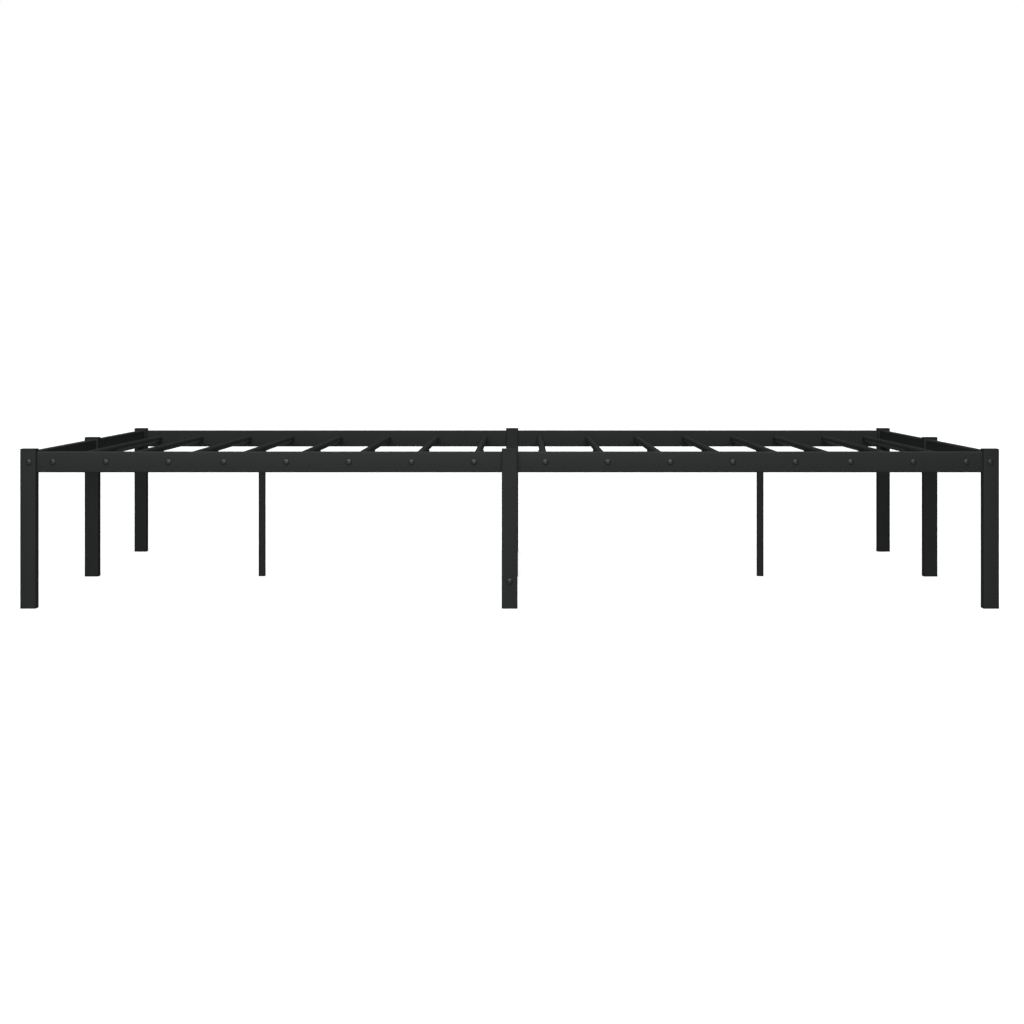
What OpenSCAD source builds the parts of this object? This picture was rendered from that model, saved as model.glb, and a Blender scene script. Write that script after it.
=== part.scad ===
// Metal platform bed frame without a headboard: round slats between two side rails, on square legs.
// Origin at the middle of the floor area, +X along the bed, -Y the front, +Z up. Millimetres.

/* [Overall] */
// length over the corner legs
bed_l = 2070; // [1700:5:2300]
// width over the corner legs
bed_w = 1570; // [1200:5:2100]
// height of the leg tops above the floor
bed_h = 338; // [280:1:420]

/* [Legs] */
// side of the square leg tube
leg_w = 33.5; // [28:0.5:45]
// wall of the leg tube
leg_wall = 1.2; // [1:0.1:2]
// outside corner radius of the leg tube
leg_r = 2.3; // [1.5:0.1:5]
// thickness of the plastic cap that shows above the tube
cap_t = 2.5; // [1.5:0.5:5]
// thickness of the plastic foot that shows below the tube
foot_t = 4; // [2:0.5:10]
// length of the part of a foot inside the tube
stem_l = 14; // [8:1:25]
// gap between a cap's stem and the highest bolt in its leg
cap_clear = 1.5; // [0.5:0.5:5]
// side of the thin support leg's square tube
thin_w = 16; // [12:0.5:25]

/* [Rails] */
// height of the rail tube
rail_h = 44; // [30:0.5:60]
// thickness of the rail tube
rail_t = 18; // [15:0.5:30]
// wall of the rail, beam and stretcher tubes
rail_wall = 1.2; // [1:0.1:2]
// outside corner radius of the rail, beam and stretcher tubes
rail_r = 2; // [1.5:0.1:4]
// how far the leg tops stand above the rails
rail_drop = 6.2; // [0:0.1:20]
// how far the rail's outer face is behind the leg's outer face
rail_inset = 9.5; // [0:0.5:12]

/* [Slats] */
// outside diameter of the round slats
slat_d = 16; // [12:0.5:25]
// wall of the slat tube
slat_wall = 1; // [0.8:0.1:2]
// distance from the middle leg to the first slat each side
slat_first = 75.5; // [60:0.5:90]
// how much shorter than the others the step from the fifth slat to the sixth is
slat_short_step = 15.8; // [0:0.1:30]
// how much shorter than the others the last step is
slat_last_step = 20; // [0:0.1:30]
// distance of the outermost slat from the end of the bed
slat_end = 67.4; // [60:0.1:90]

/* [Centre beam and stretcher] */
// height of the centre beam tube
beam_h = 40; // [25:1:60]
// width of the centre beam tube
beam_t = 20; // [15:1:30]
// plastic left under each slat by its saddle
saddle_t = 1.5; // [1:0.1:4]
// side of the low stretcher's square tube
stretch_w = 20; // [15:1:30]
// height of the stretcher's middle above the floor
stretch_z = 58; // [40:1:90]

/* [Fasteners] */
// thread diameter of the slat, corner and stretcher bolts
bolt_d = 6; // [5:0.5:8]
// head diameter of those bolts
bolt_head_d = 12.5; // [10:0.5:16]
// head height of those bolts
bolt_head_h = 2.8; // [2:0.1:5]
// thread diameter of the small bolts
small_d = 5; // [4:0.5:6]
// head diameter of the small bolts
small_head_d = 9.5; // [8:0.5:12]
// head height of the small bolts
small_head_h = 2; // [1.5:0.1:3]
// half the distance between the two small bolts at a corner
pair_z = 9.5; // [8:0.5:12]
// added to a thread's diameter for a hole that it only passes through
bolt_clear = 0.5; // [0.2:0.1:1]
// length of each threaded plug and of each slat insert
plug_l = 24; // [15:1:30]

/* [Spigots] */
// gap on each side between a spigot and the tube that slides over it
spigot_gap = 0.2; // [0.1:0.05:0.5]
// wall of the spigots
spigot_wall = 1.5; // [1.2:0.1:2]
// how far a spigot stands out of its leg
spigot_l = 48; // [30:1:55]

/* [Hidden] */
slats_a_side = 8;
thin_slat = 4; // the thin legs stand under this slat, counted from 0 at the middle
round_fn = 64;
hex_fn = 6;
tube_grey = [0.17, 0.19, 0.18];
bolt_grey = [0.1, 0.1, 0.1];
plastic_grey = [0.06, 0.06, 0.06];
zinc_grey = [0.62, 0.63, 0.65];
cut = 1; // how far a cutter runs past the face it cuts
weld_in = 0.6; // how far a welded piece runs into a tube's wall
stem_gap = 0.15; // gap on each side between a stem and its tube
thread_in = 5; // how far a short screw reaches into its thread
bolt_reach = 18; // how far a bolt reaches into its plug or insert
head_rim = 0.35; // a bolt head's straight rim, as a share of its height
head_crown = 0.62; // the flat of its dome, as a share of its width
socket_w = 0.7; // its hex socket, as a share of the thread's width
socket_deep = 0.6; // and as a share of the head's height
least_r = 0.5; // the smallest radius inside a tube
plate_t = 2; // the thin leg's top plate
plate_l = 48;
plate_screw_x = 16; // each plate screw from the thin leg's middle
peg_d = 5; // the saddle's peg in the beam
peg_l = 5;
saddle_l = 18; // along the slat
saddle_low = 3.5; // the saddle's top edge below the slat's middle

half_l = bed_l / 2;
half_w = bed_w / 2;
leg_x = half_l - leg_w / 2; // a corner leg's middle
leg_y = half_w - leg_w / 2;
rail_line = rail_inset + rail_t / 2; // a rail's middle behind the leg's outer face
side_y = half_w - rail_line; // a side rail's middle
end_x = half_l - rail_line; // an end rail's middle
rail_z = bed_h - rail_drop - rail_h / 2; // the rails' and slats' middle height
slat_l = 2 * (half_w - rail_inset - rail_t);
beam_top = rail_z - slat_d / 2 - saddle_t;
beam_z = beam_top - beam_h / 2;
spigot_start = leg_w / 2; // half tubes start here, beside a leg on the middle line
side_end = half_l - leg_w; // and end here
end_end = half_w - leg_w;
screw_at = spigot_start + spigot_l / 2; // a spigot's screw
hole_d = bolt_d + bolt_clear;
small_hole_d = small_d + bolt_clear;
centre_top = beam_top + cap_t; // the centre leg's cap stands above the beam's spigots
cap_stem_l = bed_h - cap_t - (rail_z + pair_z + small_d / 2 + cap_clear);

slat_span = half_l - slat_end - slat_first;
slat_pitch = (slat_span + slat_short_step + slat_last_step) / (slats_a_side - 1);
slat_xs = [for (i = [0 : slats_a_side - 1])
    slat_first + i * slat_pitch - (i > thin_slat ? slat_short_step : 0)
        - (i == slats_a_side - 1 ? slat_last_step : 0)];
thin_x = slat_xs[thin_slat];
// every slat from the left end to the right one
all_slat_xs = [for (i = [0 : 2 * slats_a_side - 1])
    i < slats_a_side ? -slat_xs[slats_a_side - 1 - i] : slat_xs[i - slats_a_side]];

corners = [["front_left", -1, -1], ["front_right", 1, -1], ["rear_left", -1, 1], ["rear_right", 1, 1]];
sides = [["front", -1], ["rear", 1]];
ends = [["left", -1], ["right", 1]];

corner_names = [for (c = corners) str("leg_", c[0])];
side_leg_names = [for (s = sides) str("leg_mid_", s[0])];
end_leg_names = [for (e = ends) str("leg_mid_", e[0])];
thin_names = [for (e = ends) str("leg_thin_", e[0])];
side_rail_names = [for (c = corners) str("side_rail_", c[0])];
end_rail_names = [for (c = corners) str("end_rail_", c[0])];
beam_names = [for (e = ends) str("beam_", e[0])];
stretcher_names = [for (s = sides) str("stretcher_", s[0])];
slat_names = [for (i = [1 : 2 * slats_a_side]) str("slat_", i < 10 ? "0" : "", i)];

// ---- shared shapes ----

// A rectangle with rounded corners, about the origin.
module rounded(w, h, r) {
    square([w - 2 * r, h], center = true);
    square([w, h - 2 * r], center = true);
    for (x = [-1, 1], y = [-1, 1])
        translate([x * (w / 2 - r), y * (h / 2 - r)]) circle(r = r, $fn = round_fn);
}

function inner_r(r, wall) = max(r - wall, least_r);

// The section of a tube.
module ring(w, h, r, wall) {
    difference() {
        rounded(w, h, r);
        inside(w, h, r, wall);
    }
}

// The section of what fills a tube, less a gap on each side.
module inside(w, h, r, wall, gap = 0) {
    rounded(w - 2 * (wall + gap), h - 2 * (wall + gap), inner_r(r, wall));
}

module rail_ring() { ring(rail_t, rail_h, rail_r, rail_wall); }
module beam_ring() { ring(beam_t, beam_h, rail_r, rail_wall); }
module stretcher_ring() { ring(stretch_w, stretch_w, rail_r, rail_wall); }

// Sweeps a section from one place on X, or on Y, to another; the section's second axis is up.
module along_x(from, to) {
    translate([from, 0, 0]) rotate([90, 0, 90]) linear_extrude(to - from) children();
}

module along_y(from, to) {
    translate([0, to, 0]) rotate([90, 0, 0]) linear_extrude(to - from) children();
}

module cyl_x(d, from, to) {
    translate([from, 0, 0]) rotate([0, 90, 0]) cylinder(d = d, h = to - from, $fn = round_fn);
}

module cyl_y(d, from, to) {
    translate([0, from, 0]) rotate([-90, 0, 0]) cylinder(d = d, h = to - from, $fn = round_fn);
}

module cyl_z(d, from, to) {
    translate([0, 0, from]) cylinder(d = d, h = to - from, $fn = round_fn);
}

// Turns what is drawn on the + sides to the side that sx and sy name.
module placed(sx, sy) {
    mirror([sx < 0 ? 1 : 0, 0, 0]) mirror([0, sy < 0 ? 1 : 0, 0]) children();
}

module in_corners() { for (c = corners) placed(c[1], c[2]) children(); }
module at_sides() { for (s = sides) placed(1, s[1]) children(); }
module at_ends() { for (e = ends) placed(e[1], 1) children(); }

// A bolt with a domed head and a hex socket. Its shank runs up from the origin, under the head.
module bolt(d, head_d, head_h, l) {
    rim = head_h * head_rim;
    color(bolt_grey) union() {
        difference() {
            union() {
                translate([0, 0, -rim]) cylinder(d = head_d, h = rim, $fn = round_fn);
                translate([0, 0, -head_h])
                    cylinder(d1 = head_d * head_crown, d2 = head_d, h = head_h - rim, $fn = round_fn);
            }
            translate([0, 0, -head_h - cut])
                cylinder(d = d * socket_w, h = head_h * socket_deep + cut, $fn = hex_fn);
        }
        cyl_z(d, -weld_in, l);
    }
}

module big_bolt(l) { bolt(bolt_d, bolt_head_d, bolt_head_h, l); }
module small_bolt(l) { bolt(small_d, small_head_d, small_head_h, l); }

// ---- legs ----

module leg_tube(top) {
    translate([0, 0, foot_t]) linear_extrude(top - cap_t - foot_t) ring(leg_w, leg_w, leg_r, leg_wall);
}

// A short tube welded to a leg's +X face, which its half rail slides over.
module spigot_x(w, h) {
    along_x(leg_w / 2 - weld_in, leg_w / 2 + spigot_l)
        difference() {
            inside(w, h, rail_r, rail_wall, spigot_gap);
            inside(w, h, rail_r, rail_wall, spigot_gap + spigot_wall);
        }
}

// A hole in the lower wall of a spigot at screw_at.
module spigot_hole_below(h) {
    translate([screw_at, 0, 0]) cyl_z(small_d, -h / 2 - cut, 0);
}

module corner_leg() {
    color(tube_grey) difference() {
        translate([leg_x, leg_y, 0]) leg_tube(bed_h);
        for (z = [-pair_z, pair_z])
            translate([0, side_y, rail_z + z]) cyl_x(small_hole_d, side_end - cut, half_l + cut);
        translate([end_x, 0, rail_z]) cyl_y(hole_d, end_end - cut, half_w + cut);
    }
}

// The rail spigots of a middle leg whose outer face looks along -Y, about the leg's middle.
module rail_spigots() {
    for (s = [0, 1]) mirror([s, 0, 0])
        translate([0, rail_line - leg_w / 2, rail_z]) difference() {
            spigot_x(rail_t, rail_h);
            spigot_hole_below(rail_h);
        }
}

module side_mid_leg() {
    color(tube_grey) translate([0, leg_y, 0]) mirror([0, 1, 0]) difference() {
        union() {
            leg_tube(bed_h);
            rail_spigots();
        }
        translate([0, 0, stretch_z]) cyl_y(hole_d, -leg_w / 2 - cut, leg_w / 2 + cut);
    }
}

module end_mid_leg() {
    color(tube_grey) translate([leg_x, 0, 0]) rotate([0, 0, 90]) difference() {
        union() {
            leg_tube(bed_h);
            rail_spigots();
        }
        translate([0, 0, beam_z]) cyl_y(hole_d, -leg_w / 2 - cut, leg_w / 2 + cut);
    }
}

module leg_centre() {
    color(tube_grey) union() {
        leg_tube(centre_top);
        for (a = [0, 180]) rotate([0, 0, a]) translate([0, 0, beam_z]) difference() {
            spigot_x(beam_t, beam_h);
            spigot_hole_below(beam_h);
        }
        for (a = [90, 270]) rotate([0, 0, a]) translate([0, 0, stretch_z]) difference() {
            spigot_x(stretch_w, stretch_w);
            spigot_hole_below(stretch_w);
        }
    }
}

module thin_leg() {
    plate_z = beam_top - beam_h - plate_t;
    color(tube_grey) translate([thin_x, 0, 0]) union() {
        translate([0, 0, foot_t]) linear_extrude(plate_z + weld_in - foot_t)
            ring(thin_w, thin_w, rail_r, rail_wall);
        difference() {
            translate([0, 0, plate_z]) linear_extrude(plate_t) rounded(plate_l, beam_t, rail_r);
            for (x = [-plate_screw_x, plate_screw_x])
                translate([x, 0, plate_z]) cyl_z(small_hole_d, -cut, plate_t + cut);
        }
    }
}

// A plastic plate with a stem, on top of a tube that ends at z.
module tube_cap(z, w, r, t, stem) {
    color(plastic_grey) translate([0, 0, z]) {
        linear_extrude(t) rounded(w, w, r);
        translate([0, 0, -stem]) linear_extrude(stem + t / 2) inside(w, w, r, leg_wall, stem_gap);
    }
}

module leg_caps() {
    in_corners() translate([leg_x, leg_y, 0]) leg_cap(bed_h);
    at_sides() translate([0, leg_y, 0]) leg_cap(bed_h);
    at_ends() translate([leg_x, 0, 0]) leg_cap(bed_h);
    leg_cap(centre_top);
}

module leg_cap(top) { tube_cap(top - cap_t, leg_w, leg_r, cap_t, cap_stem_l); }

// The foot is the cap's shape upside down.
module foot(w, r) {
    translate([0, 0, foot_t]) mirror([0, 0, 1]) tube_cap(0, w, r, foot_t, stem_l);
}

module leg_feet() {
    in_corners() translate([leg_x, leg_y, 0]) foot(leg_w, leg_r);
    at_sides() translate([0, leg_y, 0]) foot(leg_w, leg_r);
    at_ends() translate([leg_x, 0, 0]) foot(leg_w, leg_r);
    foot(leg_w, leg_r);
}

module thin_leg_feet() {
    at_ends() translate([thin_x, 0, 0]) foot(thin_w, rail_r);
}

// ---- rails, beam and stretcher ----

module side_rail() {
    color(tube_grey) translate([0, side_y, rail_z]) difference() {
        along_x(spigot_start, side_end) rail_ring();
        for (x = slat_xs) translate([x, 0, 0]) cyl_y(hole_d, -rail_t, rail_t);
        translate([screw_at, 0, 0]) cyl_z(small_d, -rail_h, 0);
    }
}

module end_rail() {
    color(tube_grey) translate([end_x, 0, rail_z]) difference() {
        along_y(spigot_start, end_end) rail_ring();
        translate([0, screw_at, 0]) cyl_z(small_d, -rail_h, 0);
    }
}

module beam() {
    color(tube_grey) translate([0, 0, beam_z]) difference() {
        along_x(spigot_start, side_end) beam_ring();
        for (x = slat_xs) translate([x, 0, 0]) cyl_z(peg_d, 0, beam_h);
        translate([screw_at, 0, 0]) cyl_z(small_hole_d, -beam_h, 0);
        for (x = [-plate_screw_x, plate_screw_x])
            translate([thin_x + x, 0, 0]) cyl_z(small_d, -beam_h, 0);
    }
}

module stretcher() {
    color(tube_grey) translate([0, 0, stretch_z]) difference() {
        along_y(spigot_start, end_end) stretcher_ring();
        translate([0, screw_at, 0]) cyl_z(small_hole_d, -stretch_w, 0);
    }
}

// ---- slats ----

module slat(x) {
    color(tube_grey) translate([x, 0, rail_z]) difference() {
        cyl_y(slat_d, -slat_l / 2, slat_l / 2);
        cyl_y(slat_d - 2 * slat_wall, -slat_l / 2 - cut, slat_l / 2 + cut);
    }
}

module slat_inserts() {
    insert_d = slat_d - 2 * slat_wall;
    color(zinc_grey) for (x = all_slat_xs) at_sides() translate([x, 0, rail_z]) difference() {
        cyl_y(insert_d, slat_l / 2 - plug_l, slat_l / 2);
        cyl_y(bolt_d, slat_l / 2 - plug_l - cut, slat_l / 2 + cut);
    }
}

module slat_saddles() {
    saddle_w = slat_d + 2 * saddle_t;
    saddle_h = slat_d / 2 + saddle_t - saddle_low;
    color(plastic_grey) for (x = all_slat_xs) translate([x, 0, beam_top]) {
        difference() {
            translate([-saddle_w / 2, -saddle_l / 2, 0]) cube([saddle_w, saddle_l, saddle_h]);
            translate([0, 0, saddle_t + slat_d / 2]) cyl_y(slat_d, -saddle_l, saddle_l);
        }
        cyl_z(peg_d, -peg_l, saddle_t / 2);
    }
}

// ---- fasteners ----

module slat_bolts() {
    for (x = all_slat_xs) at_sides() translate([x, half_w - rail_inset, rail_z])
        rotate([90, 0, 0]) big_bolt(rail_t + bolt_reach);
}

module corner_bolts() {
    in_corners() translate([end_x, half_w, rail_z]) rotate([90, 0, 0]) big_bolt(leg_w + bolt_reach);
}

module corner_small_bolts() {
    in_corners() for (z = [-pair_z, pair_z]) translate([half_l, side_y, rail_z + z])
        rotate([0, -90, 0]) small_bolt(leg_w + bolt_reach);
}

module side_rail_plugs() {
    color(zinc_grey) in_corners() translate([0, side_y, rail_z]) difference() {
        along_x(side_end - plug_l, side_end) inside(rail_t, rail_h, rail_r, rail_wall);
        for (z = [-pair_z, pair_z])
            translate([0, 0, z]) cyl_x(small_d, side_end - plug_l - cut, side_end + cut);
    }
}

module end_rail_plugs() {
    color(zinc_grey) in_corners() translate([end_x, 0, rail_z]) difference() {
        along_y(end_end - plug_l, end_end) inside(rail_t, rail_h, rail_r, rail_wall);
        cyl_y(bolt_d, end_end - plug_l - cut, end_end + cut);
    }
}

module beam_bolts() {
    at_ends() translate([half_l, 0, beam_z]) rotate([0, -90, 0]) big_bolt(leg_w + bolt_reach);
}

module beam_plugs() {
    color(zinc_grey) at_ends() translate([0, 0, beam_z]) difference() {
        along_x(side_end - plug_l, side_end) inside(beam_t, beam_h, rail_r, rail_wall);
        cyl_x(bolt_d, side_end - plug_l - cut, side_end + cut);
    }
}

module stretcher_bolts() {
    at_sides() translate([0, half_w, stretch_z]) rotate([90, 0, 0]) big_bolt(leg_w + bolt_reach);
}

module stretcher_plugs() {
    color(zinc_grey) at_sides() translate([0, 0, stretch_z]) difference() {
        along_y(end_end - plug_l, end_end) inside(stretch_w, stretch_w, rail_r, rail_wall);
        cyl_y(bolt_d, end_end - plug_l - cut, end_end + cut);
    }
}

// A headless screw that ends flush with the tube it is in.
module set_screw() {
    color(bolt_grey) difference() {
        cyl_z(small_d, 0, thread_in);
        translate([0, 0, -cut]) cylinder(d = small_d / 2, h = thread_in / 2 + cut, $fn = hex_fn);
    }
}

// The set screws that hold the half rails on their spigots, from below.
module rail_screws() {
    rail_bottom = rail_z - rail_h / 2;
    at_sides() for (x = [-screw_at, screw_at]) translate([x, side_y, rail_bottom]) set_screw();
    at_ends() for (y = [-screw_at, screw_at]) translate([end_x, y, rail_bottom]) set_screw();
}

module beam_screws() {
    at_ends() translate([screw_at, 0, beam_z - beam_h / 2]) small_bolt(thread_in);
}

module stretcher_screws() {
    at_sides() translate([0, screw_at, stretch_z - stretch_w / 2]) small_bolt(thread_in);
}

module plate_screws() {
    at_ends() for (x = [-plate_screw_x, plate_screw_x])
        translate([thin_x + x, 0, beam_top - beam_h - plate_t]) small_bolt(plate_t + thread_in);
}

// ---- nodes ----

for (i = [0 : len(corners) - 1]) {
    sx = corners[i][1];
    sy = corners[i][2];
    placed(sx, sy) corner_leg();
    placed(sx, sy) side_rail();
    placed(sx, sy) end_rail();
}
for (i = [0 : len(sides) - 1]) {
    placed(1, sides[i][1]) side_mid_leg();
    placed(1, sides[i][1]) stretcher();
}
for (i = [0 : len(ends) - 1]) {
    placed(ends[i][1], 1) end_mid_leg();
    placed(ends[i][1], 1) thin_leg();
    placed(ends[i][1], 1) beam();
}
for (i = [0 : len(all_slat_xs) - 1])
    slat(all_slat_xs[i]);
leg_centre();
leg_caps();
leg_feet();
thin_leg_feet();
slat_saddles();
slat_bolts();
slat_inserts();
corner_bolts();
corner_small_bolts();
side_rail_plugs();
end_rail_plugs();
beam_bolts();
beam_plugs();
stretcher_bolts();
stretcher_plugs();
rail_screws();
beam_screws();
stretcher_screws();
plate_screws();
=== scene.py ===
"""A metal platform bed frame: powder coated legs, flat tube rails and round slats, bolted together."""

from math import asin, cos, pi, radians, sin

import bmesh
import bpy
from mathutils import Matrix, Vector


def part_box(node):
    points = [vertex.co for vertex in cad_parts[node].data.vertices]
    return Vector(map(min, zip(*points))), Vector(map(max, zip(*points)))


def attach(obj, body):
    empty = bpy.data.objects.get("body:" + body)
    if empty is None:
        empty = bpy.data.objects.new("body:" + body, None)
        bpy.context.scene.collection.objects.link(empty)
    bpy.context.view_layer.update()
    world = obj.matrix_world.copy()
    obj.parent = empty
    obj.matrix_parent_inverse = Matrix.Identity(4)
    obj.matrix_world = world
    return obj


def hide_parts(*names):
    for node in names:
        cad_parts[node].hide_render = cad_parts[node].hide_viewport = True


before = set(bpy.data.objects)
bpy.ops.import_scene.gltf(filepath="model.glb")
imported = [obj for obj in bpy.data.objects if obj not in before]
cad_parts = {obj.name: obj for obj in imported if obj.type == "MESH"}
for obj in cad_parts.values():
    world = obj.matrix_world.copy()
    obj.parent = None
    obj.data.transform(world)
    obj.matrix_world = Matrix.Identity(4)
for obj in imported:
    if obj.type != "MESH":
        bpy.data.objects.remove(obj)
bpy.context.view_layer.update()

bl_info = {
    "name": "Platform Bed Frame",
    "version": (1, 0, 0),
    "blender": (4, 5, 0),
    "location": "View3D > Sidebar > Bed Frame",
    "description": "Builds a bolted steel tube bed frame with powder coat and plastic caps",
    "category": "Add Mesh",
}

MM = 0.001
X, Y, Z = 0, 1, 2
BODY = "root"

CORNERS = ("front_left", "front_right", "rear_left", "rear_right")
SIDES = ("front", "rear")
ENDS = ("left", "right")
SLATS = [f"slat_{number:02d}" for number in range(1, 17)]
INNER_STEEL = ("slat_inserts", "side_rail_plugs", "end_rail_plugs", "beam_plugs", "stretcher_plugs")

# The overall places, from the CAD frame.
LEG_LOW, LEG_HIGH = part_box("leg_front_left")
LEG_WIDTH = LEG_HIGH.x - LEG_LOW.x
HALF_LENGTH = -LEG_LOW.x
HALF_WIDTH = -LEG_LOW.y
FOOT_HEIGHT = LEG_LOW.z
CAP_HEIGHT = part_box("leg_caps")[1].z - LEG_HIGH.z
FOOT_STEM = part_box("leg_feet")[1].z - FOOT_HEIGHT
CAP_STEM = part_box("leg_centre")[1].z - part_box("leg_caps")[0].z
SIDE_RAIL_LOW, SIDE_RAIL_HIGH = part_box("side_rail_front_left")
END_RAIL_LOW, END_RAIL_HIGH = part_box("end_rail_front_left")
RAIL_MIDDLE = (SIDE_RAIL_LOW.z + SIDE_RAIL_HIGH.z) / 2
SIDE_LINE = -(SIDE_RAIL_LOW.y + SIDE_RAIL_HIGH.y) / 2
END_LINE = -(END_RAIL_LOW.x + END_RAIL_HIGH.x) / 2
BEAM_LOW, BEAM_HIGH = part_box("beam_left")
BEAM_MIDDLE = (BEAM_LOW.z + BEAM_HIGH.z) / 2
STRETCHER_LOW, STRETCHER_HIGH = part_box("stretcher_front")
STRETCHER_MIDDLE = (STRETCHER_LOW.z + STRETCHER_HIGH.z) / 2

# Small shapes that a user wouldn't change.
STRAIGHT = 0.99  # how nearly an edge or a normal lies along an axis to count as along it
MERGE = 0.005 * MM  # points closer than this become one
SMOOTH_ANGLE = radians(35)  # sharper edges than this stay sharp
PLATE_EDGE = 0.3 * MM
SADDLE_EDGE = 0.4 * MM
FOOT_EDGE = 0.6 * MM
CAP_EDGE = 0.8 * MM
SCREW_EDGE = 0.3 * MM
WELD_CORNER = 1.4  # radius of the weld's outline at its corners, in weld sizes
BOLT_STEPS = 36
SCREW_STEPS = 24
GROOVE_STEPS = 40
SOCKET_SIDES = 6

# Widths of the finishes' patterns, in millimetres.
CLOUD_MM = 90  # slow drifts of shade along a tube
SMOKE_MM, TOOL_MM = 4, 0.5  # drifts of gloss and tool marks on a bolt
GRAIN_MM, FLOW_MM = 0.9, 14  # mould grain and flow marks on the plastic
CELL_MM = 2  # the zinc's cells
FIBRE_MM = 40  # cloudy fibres in the floor's paper

# The studio, in metres and watts. Its right and left, up and down are the camera's.
FLOOR_SIZE = 400
FLOOR_GLOW = 0.5
WHITE = (1, 1, 1, 1)
HORIZON_STRENGTH, CEILING_STRENGTH, GLOW_STRENGTH = 0.02, 2.6, 0.25
CEILING_EDGE = 0.7  # how far up the ceiling's light starts: 0 is the horizon, 1 is overhead
GLOW_EDGE, GLOW_FULL = -0.05, -0.4  # the same for the glow below
SUN_PLACE, SUN_TURN = (0, -3, 2), (radians(83), 0, 0)
SUN_STRENGTH, SUN_WIDTH = 0.36, radians(12)
SOFTBOX_PLACE, SOFTBOX_TURN = (-0.3, -2.6, 1.5), (radians(58), 0, radians(-8))
SOFTBOX_LENGTH, SOFTBOX_DEPTH, SOFTBOX_POWER = 3.0, 1.4, 40
CAMERA_DISTANCE = 5.1935  # from the front legs' faces
CAMERA_RIGHT, CAMERA_HEIGHT = 0.0239, 0.5289
LENS_MM, SENSOR_MM = 86.38, 36
SHIFT_RIGHT, SHIFT_UP = -0.0087, -0.1498
FARTHEST_SEEN = 500


# ---- choices a user would change ----


class FrameSizes(bpy.types.PropertyGroup):
    """Sizes that the frame's boxes don't give, and how finely edges are rounded."""

    leg_radius: bpy.props.FloatProperty(
        name="Leg corner radius", description="Outside corner radius of the leg tube",
        default=2.3 * MM, unit="LENGTH",
    )
    rail_radius: bpy.props.FloatProperty(
        name="Rail corner radius",
        description="Outside corner radius of the rail, beam and stretcher tubes",
        default=2 * MM, unit="LENGTH",
    )
    wall: bpy.props.FloatProperty(
        name="Tube wall", description="Wall of the square and flat tubes",
        default=1.2 * MM, unit="LENGTH",
    )
    slat_wall: bpy.props.FloatProperty(
        name="Slat wall", description="Wall of the round slats", default=1 * MM, unit="LENGTH",
    )
    spigot_gap: bpy.props.FloatProperty(
        name="Spigot gap", description="Gap on each side between a spigot and its tube",
        default=0.2 * MM, unit="LENGTH",
    )
    spigot_length: bpy.props.FloatProperty(
        name="Spigot length", description="How far a spigot stands out of its leg",
        default=48 * MM, unit="LENGTH",
    )
    bolt: bpy.props.FloatProperty(
        name="Bolt", description="Thread diameter of the large bolts",
        default=6 * MM, unit="LENGTH",
    )
    small_bolt: bpy.props.FloatProperty(
        name="Small bolt", description="Thread diameter of the small bolts",
        default=5 * MM, unit="LENGTH",
    )
    bolt_reach: bpy.props.FloatProperty(
        name="Bolt reach", description="How far a bolt goes into its plug or insert",
        default=18 * MM, unit="LENGTH",
    )
    screw_reach: bpy.props.FloatProperty(
        name="Screw reach", description="Length of the short screws under their heads",
        default=5 * MM, unit="LENGTH",
    )
    saddle_wall: bpy.props.FloatProperty(
        name="Saddle wall", description="Plastic under and beside each slat on the centre beam",
        default=1.5 * MM, unit="LENGTH",
    )
    weld_leg: bpy.props.FloatProperty(
        name="Weld size", description="Size of the weld under the thin legs' plates",
        default=2.5 * MM, unit="LENGTH",
    )
    edge_steps: bpy.props.IntProperty(
        name="Edge steps", description="Faces across each rounded tube corner", default=6, min=3,
    )
    round_steps: bpy.props.IntProperty(
        name="Round steps", description="Faces around each round slat", default=40, min=12,
    )


class FrameFinishes(bpy.types.PropertyGroup):
    """Colours as sRGB hex values, and the grain of the finishes."""

    coat: bpy.props.StringProperty(
        name="Powder coat", description="Colour of the powder coat", default="#212423",
    )
    # the lighter colour serves the random clouds of tone, and also the painted highlight on the grit's
    # peaks
    coat_cloud_and_highlight: bpy.props.StringProperty(
        name="Powder coat, lighter", description="Lighter colour that clouds the powder coat",
        default="#2B2E2D",
    )
    bolt: bpy.props.StringProperty(
        name="Bolts", description="Colour of the black painted bolts", default="#232625",
    )
    plastic: bpy.props.StringProperty(
        name="Plastic", description="Colour of the caps, feet and saddles", default="#161717",
    )
    zinc: bpy.props.StringProperty(
        name="Zinc", description="Colour of the zinc plated plugs and inserts", default="#B9BCC0",
    )
    peel_mm: bpy.props.FloatProperty(
        name="Orange peel", description="Width of the powder coat's ripples in millimetres",
        default=3.0,
    )
    grit_mm: bpy.props.FloatProperty(
        name="Grit", description="Width of the powder coat's fine bumps in millimetres",
        default=0.8,
    )


def sizes():
    return bpy.context.scene.frame_sizes


def finishes():
    return bpy.context.scene.frame_finishes


# ---- modelling ----


def deselect():
    bpy.ops.object.select_all(action="DESELECT")


def activate(piece):
    deselect()
    piece.select_set(True)
    bpy.context.view_layer.objects.active = piece


def edit(piece):
    activate(piece)
    bpy.ops.object.mode_set(mode="EDIT")


def leave_edit():
    bpy.ops.object.mode_set(mode="OBJECT")


def pick(piece, kind, wanted):
    """In edit mode, selects only the vertices, edges or faces that wanted accepts."""
    bpy.ops.mesh.select_mode(type={"verts": "VERT", "edges": "EDGE", "faces": "FACE"}[kind])
    bpy.ops.mesh.select_all(action="DESELECT")
    mesh = bmesh.from_edit_mesh(piece.data)
    for item in getattr(mesh, kind):
        if wanted(item):
            item.select_set(True)
    mesh.select_flush_mode()
    bmesh.update_edit_mesh(piece.data)


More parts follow.
